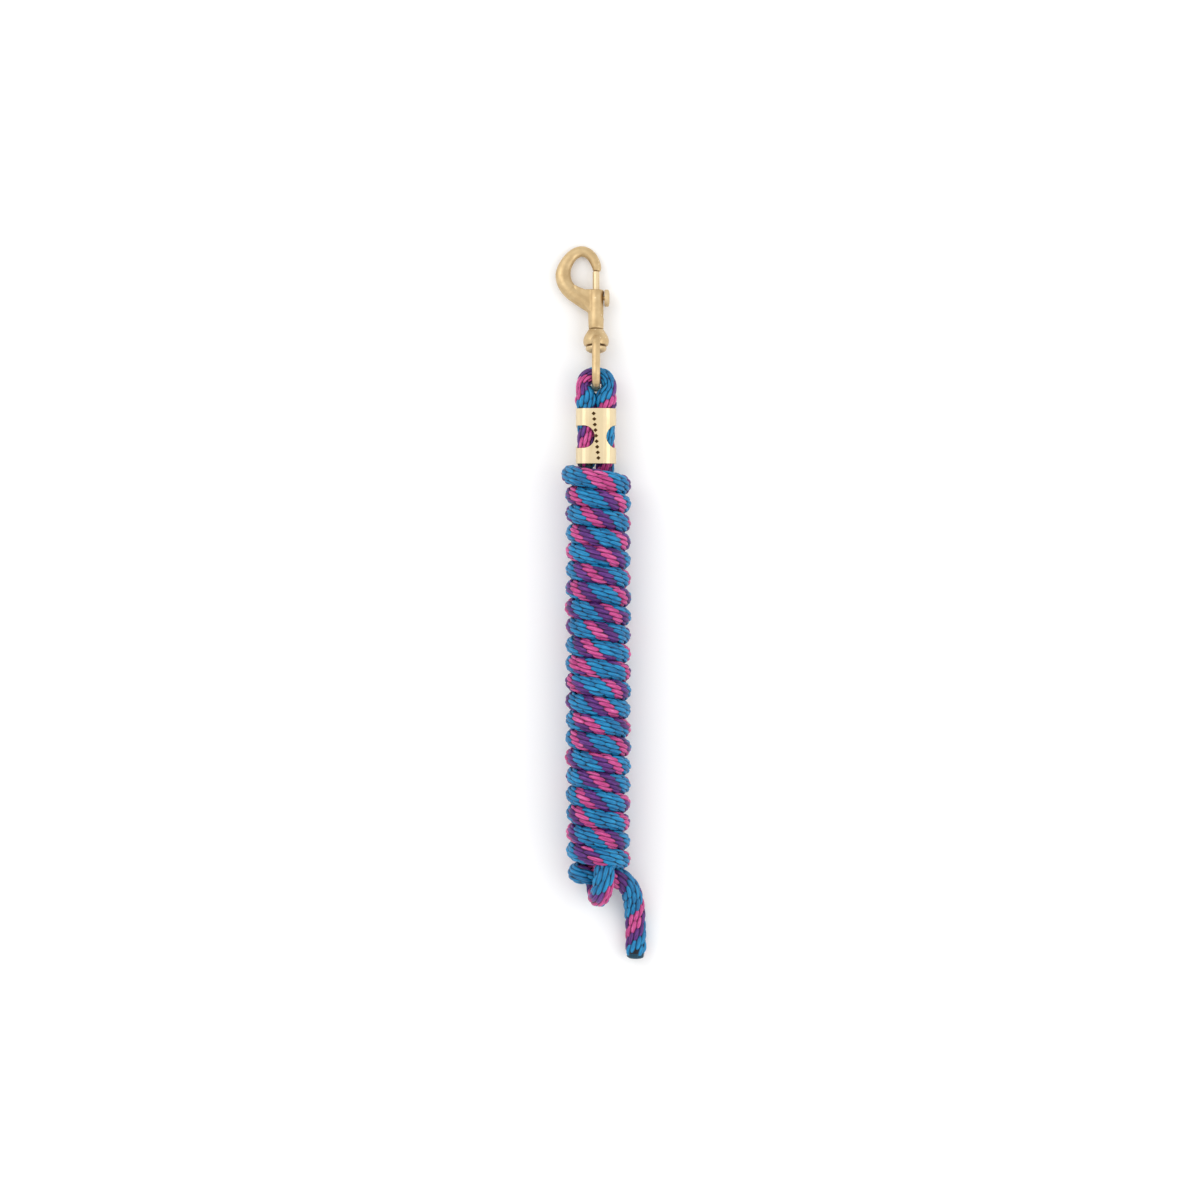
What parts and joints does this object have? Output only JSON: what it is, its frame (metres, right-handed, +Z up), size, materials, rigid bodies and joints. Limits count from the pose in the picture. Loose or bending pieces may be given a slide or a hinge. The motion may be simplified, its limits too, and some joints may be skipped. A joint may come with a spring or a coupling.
{
  "type": "lead rope",
  "caption": "Three-colour braided poly lead rope wound into a hank, with a brass swivel bolt snap at its ferruled rope eye and the sealed tail tucked through the bight.",
  "frame": {"origin": "middle of the whole object's box, on the table it lies on", "axes": "+Y along the hank towards the snap, +X across it to the side of the thumb stud, +Z up from the table"},
  "size_m": [0.0674, 0.5322, 0.0473],
  "materials": {
    "snap_brass": "satin bronze-coloured solid brass, tumbled",
    "ferrule_brass": "pressed sheet, bright satin",
    "spring_steel": "drawn wire",
    "rope_yarn": "solid-braided multifilament yarn in blue, violet and pink"
  },
  "bodies": {
    "lead": {"rope_hank": "rope_yarn", "rope_eye": "rope_yarn", "rope_bight": "rope_yarn", "rope_tail": "rope_yarn", "ferrule": "ferrule_brass"},
    "eye": {"swivel_eye": "snap_brass"},
    "snap": {"snap_body": "snap_brass", "swivel_rivet": "snap_brass", "bolt_spring": "spring_steel"},
    "bolt": {"gate_bolt": "snap_brass", "thumb_stud": "snap_brass"}
  },
  "joints": [
    {"name": "eye_swing", "type": "hinge", "parent": "lead", "child": "eye", "pos_m": [-0.00339, 0.16962, 0.01785], "axis": [1, 0, 0], "range_deg": [-95, 110]},
    {"name": "snap_swivel", "type": "hinge", "parent": "eye", "child": "snap", "pos_m": [-0.00339, 0.16962, 0.01785], "axis": [0, 0.9883, -0.1524], "continuous": true},
    {"name": "gate_slide", "type": "slide", "parent": "snap", "child": "bolt", "axis": [0, -0.9883, 0.1524], "range_m": [0, 0.0136], "stiffness_N_per_m": 250, "springref_m": -0.012, "deforming": ["bolt_spring"]}
  ]
}
